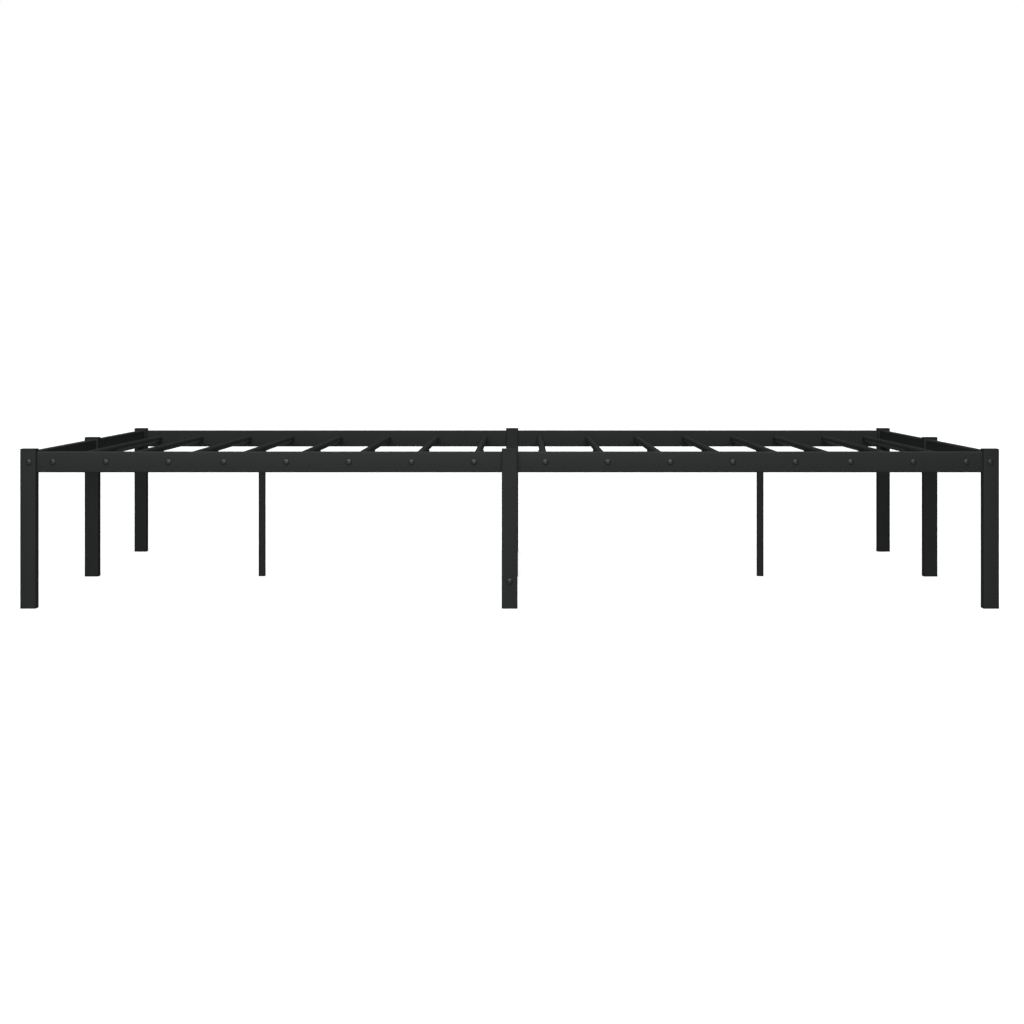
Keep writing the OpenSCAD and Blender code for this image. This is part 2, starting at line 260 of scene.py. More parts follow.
def along(edge, axis):
    """True if an edge runs along an axis."""
    run = edge.verts[1].co - edge.verts[0].co
    return abs(run[axis]) > STRAIGHT * run.length


def faces_out(axis, sign):
    """A test for faces whose normal points along an axis, on one side."""
    return lambda face: face.normal[axis] * sign > STRAIGHT


def end_faces(axis):
    """A test for faces whose normal points either way along an axis."""
    return lambda face: abs(face.normal[axis]) > STRAIGHT


def block(name, low, high):
    """A box from one corner to the other, to shape further. Its object stays at the origin."""
    deselect()
    bpy.ops.mesh.primitive_cube_add(size=1)
    piece = bpy.context.object
    piece.name = piece.data.name = name
    bpy.ops.object.mode_set(mode="EDIT")
    bpy.ops.transform.resize(value=Vector(high) - Vector(low))
    bpy.ops.transform.translate(value=(Vector(low) + Vector(high)) / 2)
    leave_edit()
    return piece


def rod(name, radius, low, high, steps):
    """A round bar up Z from low to high, to shape further."""
    deselect()
    bpy.ops.mesh.primitive_cylinder_add(vertices=steps, radius=radius, depth=high - low)
    piece = bpy.context.object
    piece.name = piece.data.name = name
    bpy.ops.object.mode_set(mode="EDIT")
    bpy.ops.transform.translate(value=(0, 0, (low + high) / 2))
    leave_edit()
    return piece


def round_corners(piece, radius):
    """In edit mode: rounds a block's four upright edges."""
    pick(piece, "edges", lambda edge: along(edge, Z))
    bpy.ops.mesh.bevel(offset=radius, segments=sizes().edge_steps, affect="EDGES")


def bore_through(piece, wall):
    """In edit mode, with both end faces selected: opens the piece from end to end, leaving a wall."""
    bpy.ops.mesh.inset(thickness=wall, use_individual=True)
    bpy.ops.mesh.delete(type="FACE")
    pick(piece, "edges", lambda edge: edge.is_boundary)
    bpy.ops.mesh.bridge_edge_loops()
    bpy.ops.mesh.select_all(action="SELECT")
    bpy.ops.mesh.normals_make_consistent(inside=False)


def square_tube(name, low, high, axis, radius, wall):
    """A square or flat tube along an axis, with rounded corners, open at both ends."""
    piece = block(name, low, high)
    edit(piece)
    pick(piece, "edges", lambda edge: along(edge, axis))
    bpy.ops.mesh.bevel(offset=radius, segments=sizes().edge_steps, affect="EDGES")
    pick(piece, "faces", end_faces(axis))
    bore_through(piece, wall)
    leave_edit()
    return piece


def tube_like(name, node, axis, radius):
    """A tube that fills a CAD node's box."""
    low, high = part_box(node)
    return square_tube(name, low, high, axis, radius, sizes().wall)


def place(piece, location=(0, 0, 0), turn=(0, 0, 0)):
    """Turns and moves a piece's mesh, leaving its object at the origin."""
    activate(piece)
    piece.location, piece.rotation_euler = location, turn
    bpy.ops.object.transform_apply(location=True, rotation=True, scale=True)
    return piece


def copies(master, places):
    """A copy of the master, with its own mesh, at each (location, turn). The master goes."""
    made = []
    for location, turn in places:
        copy = master.copy()
        copy.data = master.data.copy()
        bpy.context.scene.collection.objects.link(copy)
        made.append(place(copy, location, turn))
    bpy.data.objects.remove(master)
    return made


def join(name, parts):
    """Makes several meshes one piece."""
    activate(parts[0])
    for part in parts:
        part.select_set(True)
    bpy.ops.object.join()
    piece = bpy.context.object
    piece.name = piece.data.name = name
    return piece


def cut(piece, cutter):
    """Takes the cutter's shape out of a piece."""
    activate(piece)
    modifier = piece.modifiers.new("cut", "BOOLEAN")
    modifier.object, modifier.operation, modifier.solver = cutter, "DIFFERENCE", "EXACT"
    bpy.ops.object.modifier_apply(modifier=modifier.name)
    bpy.data.objects.remove(cutter)


def soften(piece, width, steps=2, angle=40):
    """Rounds a piece's sharp edges, and merges the points that meet where two roundings do."""
    activate(piece)
    modifier = piece.modifiers.new("edges", "BEVEL")
    modifier.width, modifier.segments = width, steps
    modifier.limit_method, modifier.angle_limit = "ANGLE", radians(angle)
    bpy.ops.object.modifier_apply(modifier=modifier.name)
    edit(piece)
    bpy.ops.mesh.select_all(action="SELECT")
    bpy.ops.mesh.remove_doubles(threshold=MERGE)
    leave_edit()


def finished(piece, node, material):
    """Shades a piece, gives it its finish, and ties it to the frame in place of its CAD node."""
    activate(piece)
    bpy.ops.object.shade_smooth_by_angle(angle=SMOOTH_ANGLE)
    piece.data.materials.clear()
    piece.data.materials.append(material)
    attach(piece, BODY)
    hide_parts(node)
    return piece


# ---- finishes ----


def linear(hex_colour):
    """An sRGB hex value as a linear colour."""
    parts = [int(hex_colour[i : i + 2], 16) / 255 for i in (1, 3, 5)]
    return (*[p / 12.92 if p <= 0.04045 else ((p + 0.055) / 1.055) ** 2.4 for p in parts], 1)


def add(tree, kind, inputs=None, **settings):
    """Adds a node with its settings, and with values or links on its inputs."""
    made = tree.nodes.new(kind)
    for key, value in settings.items():
        setattr(made, key, value)
    for key, value in (inputs or {}).items():
        if isinstance(value, bpy.types.NodeSocket):
            tree.links.new(value, made.inputs[key])
        else:
            made.inputs[key].default_value = value
    return made


def new_material(name):
    """An empty material and its tree, or the one made before."""
    material = bpy.data.materials.get(name)
    if material:
        return material, None
    material = bpy.data.materials.new(name)
    material.use_nodes = True
    material.node_tree.nodes.clear()
    return material, material.node_tree


def output(tree, shader):
    add(tree, "ShaderNodeOutputMaterial", {"Surface": shader.outputs[0]})


def per_metre(size_mm):
    """The scale that makes a noise's lumps about this wide."""
    return 1 / (size_mm * MM)


def powder_coat():
    """Polyester powder coat baked on steel tube: a satin charcoal with soft ripples (orange peel) and a
    fine grit, which spreads the light. The grit is drawn coarser than the real 0.3 mm, to show."""
    material, tree = new_material("powder_coat_charcoal")
    if not tree:
        return material
    look = finishes()
    where = add(tree, "ShaderNodeTexCoord").outputs["Object"]
    ripple = add(tree, "ShaderNodeTexNoise",
                 {"Vector": where, "Scale": per_metre(look.peel_mm), "Detail": 1.5, "Roughness": 0.4})
    grit = add(tree, "ShaderNodeTexNoise",
               {"Vector": where, "Scale": per_metre(look.grit_mm), "Detail": 3, "Roughness": 0.6})
    cloud = add(tree, "ShaderNodeTexNoise",
                {"Vector": where, "Scale": per_metre(CLOUD_MM), "Detail": 3})
    low_bump = add(tree, "ShaderNodeBump",
                   {"Height": ripple.outputs["Fac"], "Strength": 0.6, "Distance": 0.2 * MM})
    bump = add(tree, "ShaderNodeBump",
               {"Height": grit.outputs["Fac"], "Normal": low_bump.outputs["Normal"],
                "Strength": 0.8, "Distance": 0.12 * MM})
    # painted highlight: the grit's peaks are coloured lighter than its hollows, in place of the light
    # they would catch
    painted_grit_highlight = add(tree, "ShaderNodeMapRange",
                {"Value": grit.outputs["Fac"], "From Min": 0.45, "From Max": 0.7})
    base = add(tree, "ShaderNodeMix",
               {"Factor": cloud.outputs["Fac"], "A": linear(look.coat), "B": linear(look.coat_cloud_and_highlight)},
               data_type="RGBA")
    # the lighter colour laid on the grit's peaks here is a painted highlight, not a fleck in the coat
    colour = add(tree, "ShaderNodeMix",
                 {"Factor": painted_grit_highlight.outputs["Result"], "A": base.outputs["Result"],
                  "B": linear(look.coat_cloud_and_highlight)},
                 data_type="RGBA")
    rough = add(tree, "ShaderNodeMapRange",
                {"Value": cloud.outputs["Fac"], "From Min": 0.3, "From Max": 0.7,
                 "To Min": 0.5, "To Max": 0.6})
    shader = add(tree, "ShaderNodeBsdfPrincipled",
                 {"Base Color": colour.outputs["Result"], "Roughness": rough.outputs["Result"],
                  "Normal": bump.outputs["Normal"], "Specular IOR Level": 0.2})
    output(tree, shader)
    return material


def blackened_steel():
    """Black electrophoretic paint on bolt steel: as dark as the coat, glossier, with faint drifts."""
    material, tree = new_material("black_painted_bolt_steel")
    if not tree:
        return material
    look = finishes()
    where = add(tree, "ShaderNodeTexCoord").outputs["Object"]
    smoke = add(tree, "ShaderNodeTexNoise",
                {"Vector": where, "Scale": per_metre(SMOKE_MM), "Detail": 4})
    tool = add(tree, "ShaderNodeTexNoise", {"Vector": where, "Scale": per_metre(TOOL_MM), "Detail": 2})
    bump = add(tree, "ShaderNodeBump",
               {"Height": tool.outputs["Fac"], "Strength": 0.15, "Distance": 0.02 * MM})
    rough = add(tree, "ShaderNodeMapRange",
                {"Value": smoke.outputs["Fac"], "From Min": 0.3, "From Max": 0.7,
                 "To Min": 0.3, "To Max": 0.4})
    shader = add(tree, "ShaderNodeBsdfPrincipled",
                 {"Base Color": linear(look.bolt), "Roughness": rough.outputs["Result"],
                  "Normal": bump.outputs["Normal"], "IOR": 1.5})
    output(tree, shader)
    return material


def moulded_plastic():
    """Injection moulded black polyethylene: matt, with the fine grain of a spark eroded mould."""
    material, tree = new_material("moulded_black_polyethylene")
    if not tree:
        return material
    look = finishes()
    where = add(tree, "ShaderNodeTexCoord").outputs["Object"]
    grain = add(tree, "ShaderNodeTexVoronoi", {"Vector": where, "Scale": per_metre(GRAIN_MM)})
    flow = add(tree, "ShaderNodeTexNoise", {"Vector": where, "Scale": per_metre(FLOW_MM), "Detail": 2})
    bump = add(tree, "ShaderNodeBump",
               {"Height": grain.outputs["Distance"], "Strength": 0.4, "Distance": 0.05 * MM})
    rough = add(tree, "ShaderNodeMapRange",
                {"Value": flow.outputs["Fac"], "From Min": 0.3, "From Max": 0.7,
                 "To Min": 0.5, "To Max": 0.6})
    shader = add(tree, "ShaderNodeBsdfPrincipled",
                 {"Base Color": linear(look.plastic), "Roughness": rough.outputs["Result"],
                  "Normal": bump.outputs["Normal"], "Specular IOR Level": 0.35, "IOR": 1.5})
    output(tree, shader)
    return material


def zinc_plate():
    """Zinc plated steel plugs and inserts: pale metal, with faint cells that shine more or less."""
    material, tree = new_material("zinc_plated_steel")
    if not tree:
        return material
    look = finishes()
    where = add(tree, "ShaderNodeTexCoord").outputs["Object"]
    spangle = add(tree, "ShaderNodeTexVoronoi", {"Vector": where, "Scale": per_metre(CELL_MM)})
    rough = add(tree, "ShaderNodeMapRange",
                {"Value": spangle.outputs["Distance"], "To Min": 0.28, "To Max": 0.42})
    shader = add(tree, "ShaderNodeBsdfPrincipled",
                 {"Base Color": linear(look.zinc), "Metallic": 1.0,
                  "Roughness": rough.outputs["Result"]})
    output(tree, shader)
    return material


# ---- shared shapes ----


def leg_tube(name, x, y, top):
    """A leg's square tube round (x, y), from the foot's top face up to the cap."""
    half = LEG_WIDTH / 2
    return square_tube(name, (x - half, y - half, FOOT_HEIGHT), (x + half, y + half, top), Z,
                       sizes().leg_radius, sizes().wall)


def spigots(x, y, z, axis, width, height):
    """Two short tubes that stand out of a middle leg along an axis, to go inside its half rails."""
    look = sizes()
    inset = look.wall + look.spigot_gap
    made = []
    for sign in (-1, 1):
        near, far = LEG_WIDTH / 2 - look.wall / 2, LEG_WIDTH / 2 + look.spigot_length
        low, high = Vector((x, y, z)), Vector((x, y, z))
        across = Y if axis == X else X
        low[across] -= width / 2 - inset
        high[across] += width / 2 - inset
        low.z -= height / 2 - inset
        high.z += height / 2 - inset
        ends = sorted((sign * near, sign * far))
        low[axis] += ends[0]
        high[axis] += ends[1]
        made.append(square_tube("spigot", low, high, axis, look.rail_radius - inset / 2, look.wall))
    return made


def leg_places():
    """(x, y, top of the tube) of every full size leg."""
    x, y = HALF_LENGTH - LEG_WIDTH / 2, HALF_WIDTH - LEG_WIDTH / 2
    top = LEG_HIGH.z
    outer = [(i * x, j * y, top) for i in (-1, 0, 1) for j in (-1, 0, 1) if i or j]
    return outer + [(0, 0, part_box("leg_centre")[1].z)]


def plug(name, low, high, stem_end, radius, wall):
    """A moulded plate with rounded corners and a stem from its lower or upper side to stem_end."""
    plate = block(name, low, high)
    edit(plate)
    round_corners(plate, radius)
    down = stem_end < low[Z]
    pick(plate, "faces", faces_out(Z, -1 if down else 1))
    bpy.ops.mesh.inset(thickness=wall)
    bpy.ops.mesh.extrude_region_move(
        TRANSFORM_OT_translate={"value": (0, 0, stem_end - (low[Z] if down else high[Z]))}
    )
    leave_edit()
    return plate


def button_bolt(name, head, height, thread, length):
    """A button head bolt with a hex socket. Its head is below the origin and its shank goes up."""
    rim = height * 0.35  # the upright part of the head
    rings = 6  # steps down the crown's curve
    top_share = 0.56  # the flat top's width, as a share of the head's
    tip_share = 0.05  # the shank's chamfered tip, as a share of its length
    tip_width = 0.8  # the tip's width, as a share of the thread's
    socket_radius = thread * 0.35
    socket_floor, socket_mouth = -height * 0.4, -height * 1.2
    lean = asin((1 - top_share**2) ** 0.5)
    bolt = rod(name, head / 2, -rim, 0, BOLT_STEPS)
    edit(bolt)
    pick(bolt, "faces", faces_out(Z, -1))
    share, drop = 1.0, 0.0
    for ring in range(1, rings + 1):
        angle = lean * ring / rings
        next_share, next_drop = cos(angle), (height - rim) * sin(angle) / sin(lean)
        bpy.ops.mesh.extrude_region_move(TRANSFORM_OT_translate={"value": (0, 0, drop - next_drop)})
        grow = next_share / share
        bpy.ops.transform.resize(value=(grow, grow, 1), center_override=(0, 0, -rim - next_drop))
        share, drop = next_share, next_drop
    pick(bolt, "faces", faces_out(Z, 1))
    bpy.ops.mesh.inset(thickness=(head - thread) / 2)
    bpy.ops.mesh.extrude_region_move(TRANSFORM_OT_translate={"value": (0, 0, length * (1 - tip_share))})
    bpy.ops.mesh.extrude_region_move(TRANSFORM_OT_translate={"value": (0, 0, length * tip_share)})
    bpy.ops.transform.resize(value=(tip_width, tip_width, 1))
    leave_edit()
    cut(bolt, rod("socket", socket_radius, socket_mouth, socket_floor, SOCKET_SIDES))
    return bolt


def set_screw(name, thread, length):
    """A headless screw with a hex socket in its lower end, which is at the origin."""
    socket_radius, socket_deep = thread / 4, length / 2
    screw = rod(name, thread / 2, 0, length, SCREW_STEPS)
    edit(screw)
    pick(screw, "faces", end_faces(Z))
    bpy.ops.mesh.bevel(offset=SCREW_EDGE, segments=1, affect="EDGES")
    leave_edit()
    cut(screw, rod("socket", socket_radius, -socket_deep, socket_deep, SOCKET_SIDES))
    return screw


TURN = {  # turns a bolt so that its shank points along +X, -X, +Y, -Y or +Z
    "+x": (0, pi / 2, 0), "-x": (0, -pi / 2, 0),
    "+y": (-pi / 2, 0, 0), "-y": (pi / 2, 0, 0), "+z": (0, 0, 0),
}


def into_sides(y, points):
    """Places on the front face, with the shank going to the rear, and the same on the rear face."""
    return [((x, sign * y, z), TURN["+y" if sign < 0 else "-y"]) for sign in (-1, 1) for x, z in points]


def into_ends(x, points):
    """Places on the left face, with the shank going right, and the same on the right face."""
    return [((sign * x, y, z), TURN["+x" if sign < 0 else "-x"]) for sign in (-1, 1) for y, z in points]


def middle(node, axis):
    low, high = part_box(node)
    return (low[axis] + high[axis]) / 2


BIG_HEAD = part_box("stretcher_bolts")[1].x * 2
BIG_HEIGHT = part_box("stretcher_bolts")[1].y - HALF_WIDTH
SMALL_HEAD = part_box("beam_screws")[1].y * 2
SMALL_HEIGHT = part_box("corner_small_bolts")[1].x - HALF_LENGTH
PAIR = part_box("corner_small_bolts")[1].z - SMALL_HEAD / 2 - RAIL_MIDDLE
PLATE_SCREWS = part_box("plate_screws")
SCREW_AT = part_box("beam_screws")[1].x - SMALL_HEAD / 2


def big_bolts(name, length, places):
    bolt = button_bolt("bolt", BIG_HEAD, BIG_HEIGHT, sizes().bolt, length)
    return finished(join(name, copies(bolt, places)), name, blackened_steel())


def small_bolts(name, length, places):
    bolt = button_bolt("bolt", SMALL_HEAD, SMALL_HEIGHT, sizes().small_bolt, length)
    return finished(join(name, copies(bolt, places)), name, blackened_steel())


# ---- one operator for each piece or group of like pieces ----


class FRAME_OT_corner_legs(bpy.types.Operator):
    """Adds the four corner legs"""

    bl_idname = "frame.corner_legs"
    bl_label = "Corner Legs"

    def execute(self, context):
        for corner in CORNERS:
            node = f"leg_{corner}"
            leg = tube_like(node + "_tube", node, Z, sizes().leg_radius)
            finished(leg, node, powder_coat())
        return {"FINISHED"}


class FRAME_OT_middle_legs(bpy.types.Operator):
    """Adds the middle legs of the sides and ends, with the spigots that hold the half rails"""

    bl_idname = "frame.middle_legs"
    bl_label = "Middle Legs"

    def execute(self, context):
        thickness = SIDE_RAIL_HIGH.y - SIDE_RAIL_LOW.y
        height = SIDE_RAIL_HIGH.z - SIDE_RAIL_LOW.z
        for sign, side in zip((-1, 1), SIDES):
            node = f"leg_mid_{side}"
            tube = leg_tube(node, 0, sign * (HALF_WIDTH - LEG_WIDTH / 2), LEG_HIGH.z)
            arms = spigots(0, sign * SIDE_LINE, RAIL_MIDDLE, X, thickness, height)
            finished(join(node + "_tube", [tube, *arms]), node, powder_coat())
        for sign, end in zip((-1, 1), ENDS):
            node = f"leg_mid_{end}"
            tube = leg_tube(node, sign * (HALF_LENGTH - LEG_WIDTH / 2), 0, LEG_HIGH.z)
            arms = spigots(sign * END_LINE, 0, RAIL_MIDDLE, Y, thickness, height)
            finished(join(node + "_tube", [tube, *arms]), node, powder_coat())
        return {"FINISHED"}


class FRAME_OT_centre_leg(bpy.types.Operator):
    """Adds the leg under the middle of the beam, with spigots for the beam and the stretchers"""

    bl_idname = "frame.centre_leg"
    bl_label = "Centre Leg"

    def execute(self, context):
        node = "leg_centre"
        tube = leg_tube(node, 0, 0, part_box(node)[1].z)
        beam_size = BEAM_HIGH - BEAM_LOW
        low_size = STRETCHER_HIGH - STRETCHER_LOW
        arms = spigots(0, 0, BEAM_MIDDLE, X, beam_size.y, beam_size.z)
        arms += spigots(0, 0, STRETCHER_MIDDLE, Y, low_size.x, low_size.z)
        finished(join(node + "_tube", [tube, *arms]), node, powder_coat())
        return {"FINISHED"}


class FRAME_OT_thin_legs(bpy.types.Operator):
    """Adds the two thin legs, each with a screwed plate and a weld round the tube under it"""

    bl_idname = "frame.thin_legs"
    bl_label = "Thin Legs"

    def execute(self, context):
        look = sizes()
        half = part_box("thin_leg_feet")[1].y
        plate_bottom = PLATE_SCREWS[0].z + SMALL_HEIGHT
        for end in ENDS:
            node = f"leg_thin_{end}"
            low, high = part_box(node)
            x = (low.x + high.x) / 2
            tube = square_tube(node, (x - half, -half, FOOT_HEIGHT), (x + half, half, plate_bottom), Z,
                               look.rail_radius, look.wall)
            plate = block("plate", (low.x, low.y, plate_bottom), high)
            edit(plate)
            round_corners(plate, look.rail_radius)
            leave_edit()
            soften(plate, PLATE_EDGE)
            wide = half + look.weld_leg
            weld = block("weld", (x - wide, -wide, plate_bottom - look.weld_leg),
                         (x + wide, wide, plate_bottom))
            edit(weld)
            round_corners(weld, look.weld_leg * WELD_CORNER)
            pick(weld, "faces", faces_out(Z, -1))
            shrink = half / wide
            bpy.ops.transform.resize(value=(shrink, shrink, 1))
            leave_edit()
            finished(join(node + "_tube", [tube, plate, weld]), node, powder_coat())
        return {"FINISHED"}


class FRAME_OT_rails(bpy.types.Operator):
    """Adds the eight half rails, along the sides and across the ends"""

    bl_idname = "frame.rails"
    bl_label = "Rails"

    def execute(self, context):
        for corner in CORNERS:
            for kind, axis in (("side_rail", X), ("end_rail", Y)):
                node = f"{kind}_{corner}"
                rail = tube_like(node + "_tube", node, axis, sizes().rail_radius)
                finished(rail, node, powder_coat())
        return {"FINISHED"}


class FRAME_OT_beam(bpy.types.Operator):
    """Adds the two halves of the centre beam and the two low stretchers"""

    bl_idname = "frame.beam"
    bl_label = "Beam and Stretchers"

    def execute(self, context):
        halves = [(f"beam_{end}", X) for end in ENDS] + [(f"stretcher_{side}", Y) for side in SIDES]
        for node, axis in halves:
            tube = tube_like(node + "_tube", node, axis, sizes().rail_radius)
            finished(tube, node, powder_coat())
        return {"FINISHED"}


class FRAME_OT_slats(bpy.types.Operator):
    """Adds the round slats"""

    bl_idname = "frame.slats"
    bl_label = "Slats"

    def execute(self, context):
        look = sizes()
        for node in SLATS:
            low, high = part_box(node)
            length = high.y - low.y
            radius = (high.z - low.z) / 2
            slat = rod(node + "_tube", radius, -length / 2, length / 2, look.round_steps)
            edit(slat)
            pick(slat, "faces", end_faces(Z))
            bore_through(slat, look.slat_wall)
            leave_edit()
            place(slat, (low + high) / 2, TURN["+y"])
            finished(slat, node, powder_coat())
        return {"FINISHED"}


class FRAME_OT_saddles(bpy.types.Operator):
    """Adds the plastic saddles that hold the slats on the centre beam"""

    bl_idname = "frame.saddles"
    bl_label = "Slat Saddles"

    def execute(self, context):
        low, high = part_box("slat_saddles")
        slat_low, slat_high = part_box(SLATS[0])
        radius = (slat_high.z - slat_low.z) / 2
        half_width = radius + sizes().saddle_wall
        bottom = BEAM_HIGH.z - RAIL_MIDDLE
        top = high.z - RAIL_MIDDLE
        saddle = block("saddle", (-half_width, low.y, bottom), (half_width, high.y, top))
        past = high.y * 2  # the groove's cutter goes well past the saddle's ends
        groove = rod("groove", radius, -past, past, GROOVE_STEPS)
        place(groove, turn=TURN["+y"])
        cut(saddle, groove)
        soften(saddle, SADDLE_EDGE, angle=50)
        places = [((middle(node, X), 0, RAIL_MIDDLE), (0, 0, 0)) for node in SLATS]
        saddles = join("slat_saddle_clips", copies(saddle, places))
        finished(saddles, "slat_saddles", moulded_plastic())
        return {"FINISHED"}


class FRAME_OT_caps_and_feet(bpy.types.Operator):
    """Adds the plastic caps in the leg tops and the feet under the legs"""

    bl_idname = "frame.caps_and_feet"
    bl_label = "Caps and Feet"

    def execute(self, context):
        look = sizes()
        half = LEG_WIDTH / 2
        caps, feet = [], []
        for x, y, top in leg_places():
            cap = plug("cap", (x - half, y - half, top), (x + half, y + half, top + CAP_HEIGHT),
                       top - CAP_STEM, look.leg_radius, look.wall + look.spigot_gap)
            soften(cap, CAP_EDGE, 3)
            caps.append(cap)
            feet.append(self.foot(x, y, half, look.leg_radius))
        finished(join("leg_cap_plugs", caps), "leg_caps", moulded_plastic())
        finished(join("leg_foot_plugs", feet), "leg_feet", moulded_plastic())
        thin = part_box("thin_leg_feet")[1]
        half = thin.y
        x = thin.x - half
        pair = [self.foot(sign * x, 0, half, look.rail_radius) for sign in (-1, 1)]
        finished(join("thin_leg_foot_plugs", pair), "thin_leg_feet", moulded_plastic())
        return {"FINISHED"}

    def foot(self, x, y, half, radius):
        look = sizes()
        foot = plug("foot", (x - half, y - half, 0), (x + half, y + half, FOOT_HEIGHT),
                    FOOT_HEIGHT + FOOT_STEM, radius, look.wall + look.spigot_gap)
        soften(foot, FOOT_EDGE, 3)
        return foot


class FRAME_OT_bolts(bpy.types.Operator):
    """Adds every bolt and screw"""

    bl_idname = "frame.bolts"
    bl_label = "Bolts"

    def execute(self, context):
        look = sizes()
        rail_face = -SIDE_RAIL_LOW.y
        thickness = SIDE_RAIL_HIGH.y - SIDE_RAIL_LOW.y
        through_leg = LEG_WIDTH + look.bolt_reach
        slat_points = [(middle(node, X), RAIL_MIDDLE) for node in SLATS]
        big_bolts("slat_bolts", thickness + look.bolt_reach, into_sides(rail_face, slat_points))
        corner_points = [(sign * END_LINE, RAIL_MIDDLE) for sign in (-1, 1)]
        big_bolts("corner_bolts", through_leg, into_sides(HALF_WIDTH, corner_points))
        big_bolts("stretcher_bolts", through_leg, into_sides(HALF_WIDTH, [(0, STRETCHER_MIDDLE)]))
        big_bolts("beam_bolts", through_leg, into_ends(HALF_LENGTH, [(0, BEAM_MIDDLE)]))
        pairs = [(i * SIDE_LINE, RAIL_MIDDLE + j * PAIR) for i in (-1, 1) for j in (-1, 1)]
        small_bolts("corner_small_bolts", through_leg, into_ends(HALF_LENGTH, pairs))

        up = TURN["+z"]
        under_sides = [(i * SCREW_AT, j * SIDE_LINE, SIDE_RAIL_LOW.z) for i in (-1, 1) for j in (-1, 1)]
        under_ends = [(i * END_LINE, j * SCREW_AT, SIDE_RAIL_LOW.z) for i in (-1, 1) for j in (-1, 1)]
        screw = set_screw("screw", look.small_bolt, look.screw_reach)
        places = [(spot, up) for spot in under_sides + under_ends]
        screws = join("rail_set_screws", copies(screw, places))
        finished(screws, "rail_screws", blackened_steel())
        small_bolts("beam_screws", look.screw_reach,
                    [((i * SCREW_AT, 0, BEAM_LOW.z), up) for i in (-1, 1)])
        small_bolts("stretcher_screws", look.screw_reach,
                    [((0, i * SCREW_AT, STRETCHER_LOW.z), up) for i in (-1, 1)])
        thin_x = middle("leg_thin_right", X)
        apart = PLATE_SCREWS[1].x - SMALL_HEAD / 2 - thin_x
        small_bolts("plate_screws", look.screw_reach,
                    [((i * thin_x + j * apart, 0, PLATE_SCREWS[0].z + SMALL_HEIGHT), up)
                     for i in (-1, 1) for j in (-1, 1)])
        return {"FINISHED"}


class FRAME_OT_inner_steel(bpy.types.Operator):
    """Gives the plugs and inserts inside the tubes their zinc finish"""

    bl_idname = "frame.inner_steel"
    bl_label = "Plugs and Inserts"

    def execute(self, context):
        for node in INNER_STEEL:
            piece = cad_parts[node]
            for slot in piece.material_slots:
                slot.material = zinc_plate()
        return {"FINISHED"}


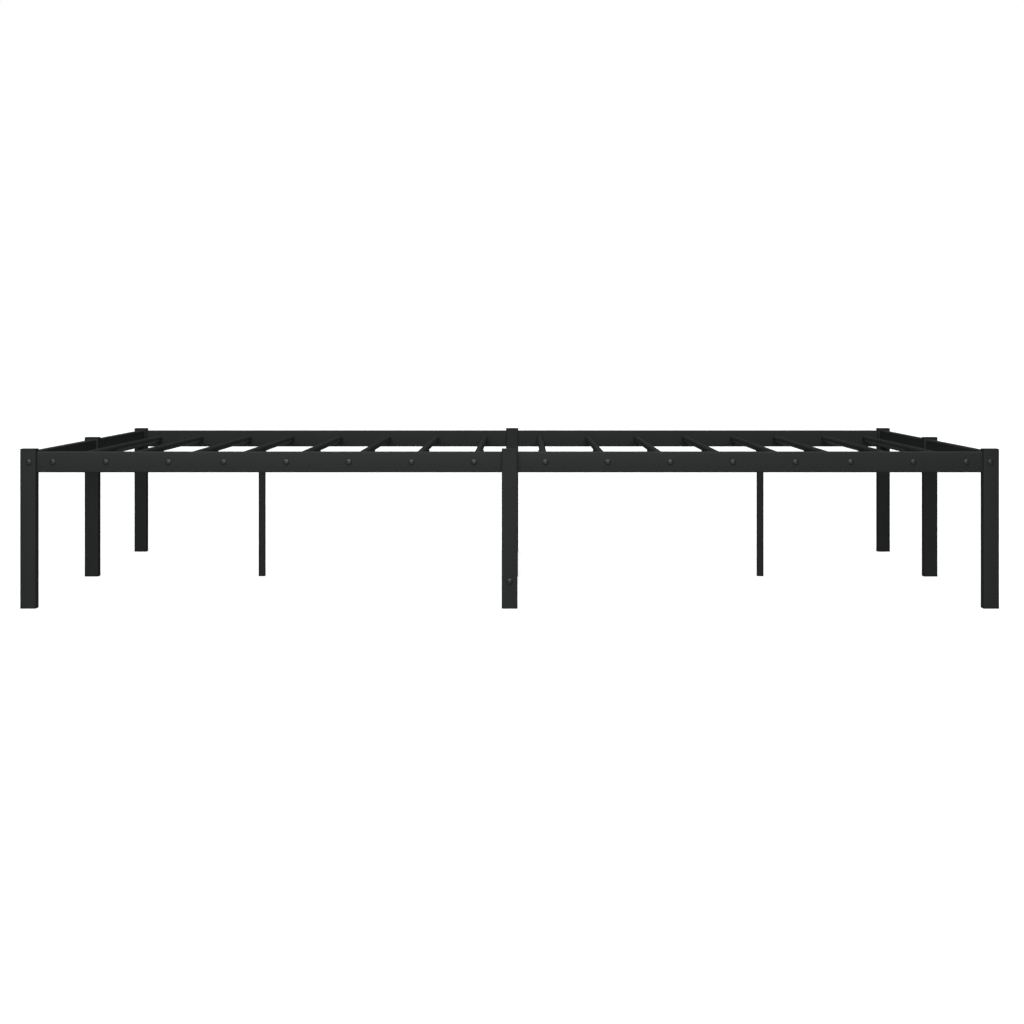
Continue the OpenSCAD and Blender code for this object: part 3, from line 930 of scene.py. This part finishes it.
class FRAME_OT_stage(bpy.types.Operator):
    """Adds the pale floor, the soft studio light and the camera"""

    bl_idname = "frame.stage"
    bl_label = "Stage"

    def execute(self, context):
        self.floor()
        self.sky()
        self.lights()
        self.camera()
        return {"FINISHED"}

    def floor(self):
        deselect()
        bpy.ops.mesh.primitive_plane_add(size=FLOOR_SIZE)
        floor = bpy.context.object
        floor.name = "studio_floor"
        material, tree = new_material("matt_white_paper")
        where = add(tree, "ShaderNodeTexCoord").outputs["Object"]
        fibre = add(tree, "ShaderNodeTexNoise",
                    {"Vector": where, "Scale": per_metre(FIBRE_MM), "Detail": 3})
        rough = add(tree, "ShaderNodeMapRange",
                    {"Value": fibre.outputs["Fac"], "To Min": 0.85, "To Max": 0.95})
        shader = add(tree, "ShaderNodeBsdfPrincipled",
                     {"Base Color": linear("#FAFAFA"), "Roughness": rough.outputs["Result"],
                      "Specular IOR Level": 0.1, "Emission Color": WHITE,
                      "Emission Strength": FLOOR_GLOW})
        # clear from below, so that the underside of the frame can be seen
        side = add(tree, "ShaderNodeNewGeometry")
        clear = add(tree, "ShaderNodeBsdfTransparent")
        output(tree, add(tree, "ShaderNodeMixShader",
                         {0: side.outputs["Backfacing"], 1: shader.outputs[0], 2: clear.outputs[0]}))
        floor.data.materials.append(material)
        # it sends no light back to the frame: the sky's glow from below does
        floor.visible_glossy = floor.visible_diffuse = False

    def sky(self):
        """White to the eye, and for the light a bright ceiling, a dark horizon and a dim glow below."""
        world = bpy.data.worlds.new("studio")
        bpy.context.scene.world = world
        world.use_nodes = True
        tree = world.node_tree
        tree.nodes.clear()
        where = add(tree, "ShaderNodeTexCoord").outputs["Generated"]
        up = add(tree, "ShaderNodeSeparateXYZ", {"Vector": where}).outputs["Z"]
        height = add(tree, "ShaderNodeMapRange",
                     {"Value": up, "From Min": CEILING_EDGE, "From Max": 1.0,
                      "To Min": HORIZON_STRENGTH, "To Max": CEILING_STRENGTH})
        depth = add(tree, "ShaderNodeMapRange",
                    {"Value": up, "From Min": GLOW_EDGE, "From Max": GLOW_FULL,
                     "To Min": 0.0, "To Max": GLOW_STRENGTH})
        both = add(tree, "ShaderNodeMath", {0: height.outputs["Result"], 1: depth.outputs["Result"]})
        light = add(tree, "ShaderNodeBackground", {"Color": WHITE, "Strength": both.outputs[0]})
        seen = add(tree, "ShaderNodeBackground", {"Color": WHITE, "Strength": 1.0})
        path = add(tree, "ShaderNodeLightPath")
        mix = add(tree, "ShaderNodeMixShader",
                  {0: path.outputs["Is Camera Ray"], 1: light.outputs[0], 2: seen.outputs[0]})
        add(tree, "ShaderNodeOutputWorld", {"Surface": mix.outputs[0]})

    def lights(self):
        deselect()
        bpy.ops.object.light_add(type="SUN", location=SUN_PLACE, rotation=SUN_TURN)
        key = bpy.context.object
        key.name = "front_key"
        key.data.energy, key.data.angle = SUN_STRENGTH, SUN_WIDTH
        bpy.ops.object.light_add(type="AREA", location=SOFTBOX_PLACE, rotation=SOFTBOX_TURN)
        softbox = bpy.context.object
        softbox.name = "front_softbox"
        softbox.data.shape = "RECTANGLE"
        softbox.data.size, softbox.data.size_y = SOFTBOX_LENGTH, SOFTBOX_DEPTH
        softbox.data.energy = SOFTBOX_POWER

    def camera(self):
        """A long lens, level, so that upright edges stay upright, with the frame low in the view."""
        deselect()
        stand = (CAMERA_RIGHT, -HALF_WIDTH - CAMERA_DISTANCE, CAMERA_HEIGHT)
        bpy.ops.object.camera_add(location=stand, rotation=(pi / 2, 0, 0))
        camera = bpy.context.object
        camera.name = "studio_camera"
        camera.data.lens, camera.data.sensor_width = LENS_MM, SENSOR_MM
        camera.data.shift_x, camera.data.shift_y = SHIFT_RIGHT, SHIFT_UP
        camera.data.clip_end = FARTHEST_SEEN
        bpy.context.scene.camera = camera
        bpy.context.scene.view_settings.view_transform = "Standard"


OPERATORS = (
    FRAME_OT_corner_legs,
    FRAME_OT_middle_legs,
    FRAME_OT_centre_leg,
    FRAME_OT_thin_legs,
    FRAME_OT_rails,
    FRAME_OT_beam,
    FRAME_OT_slats,
    FRAME_OT_saddles,
    FRAME_OT_caps_and_feet,
    FRAME_OT_bolts,
    FRAME_OT_inner_steel,
    FRAME_OT_stage,
)


class FRAME_PT_sidebar(bpy.types.Panel):
    """Lists the sizes, the finishes and every piece"""

    bl_idname = "FRAME_PT_sidebar"
    bl_label = "Bed Frame"
    bl_space_type = "VIEW_3D"
    bl_region_type = "UI"
    bl_category = "Bed Frame"

    def draw(self, context):
        layout = self.layout
        for group in (context.scene.frame_sizes, context.scene.frame_finishes):
            column = layout.column(align=True)
            for name in group.bl_rna.properties.keys():
                if name not in {"rna_type", "name"}:
                    column.prop(group, name)
        for operator in OPERATORS:
            layout.operator(operator.bl_idname)


CLASSES = (FrameSizes, FrameFinishes, *OPERATORS, FRAME_PT_sidebar)


def register():
    for cls in CLASSES:
        bpy.utils.register_class(cls)
    bpy.types.Scene.frame_sizes = bpy.props.PointerProperty(type=FrameSizes)
    bpy.types.Scene.frame_finishes = bpy.props.PointerProperty(type=FrameFinishes)


def unregister():
    del bpy.types.Scene.frame_finishes
    del bpy.types.Scene.frame_sizes
    for cls in reversed(CLASSES):
        bpy.utils.unregister_class(cls)


def main():
    register()
    for operator in OPERATORS:
        group, name = operator.bl_idname.split(".")
        getattr(getattr(bpy.ops, group), name)()


if __name__ == "__main__":
    main()
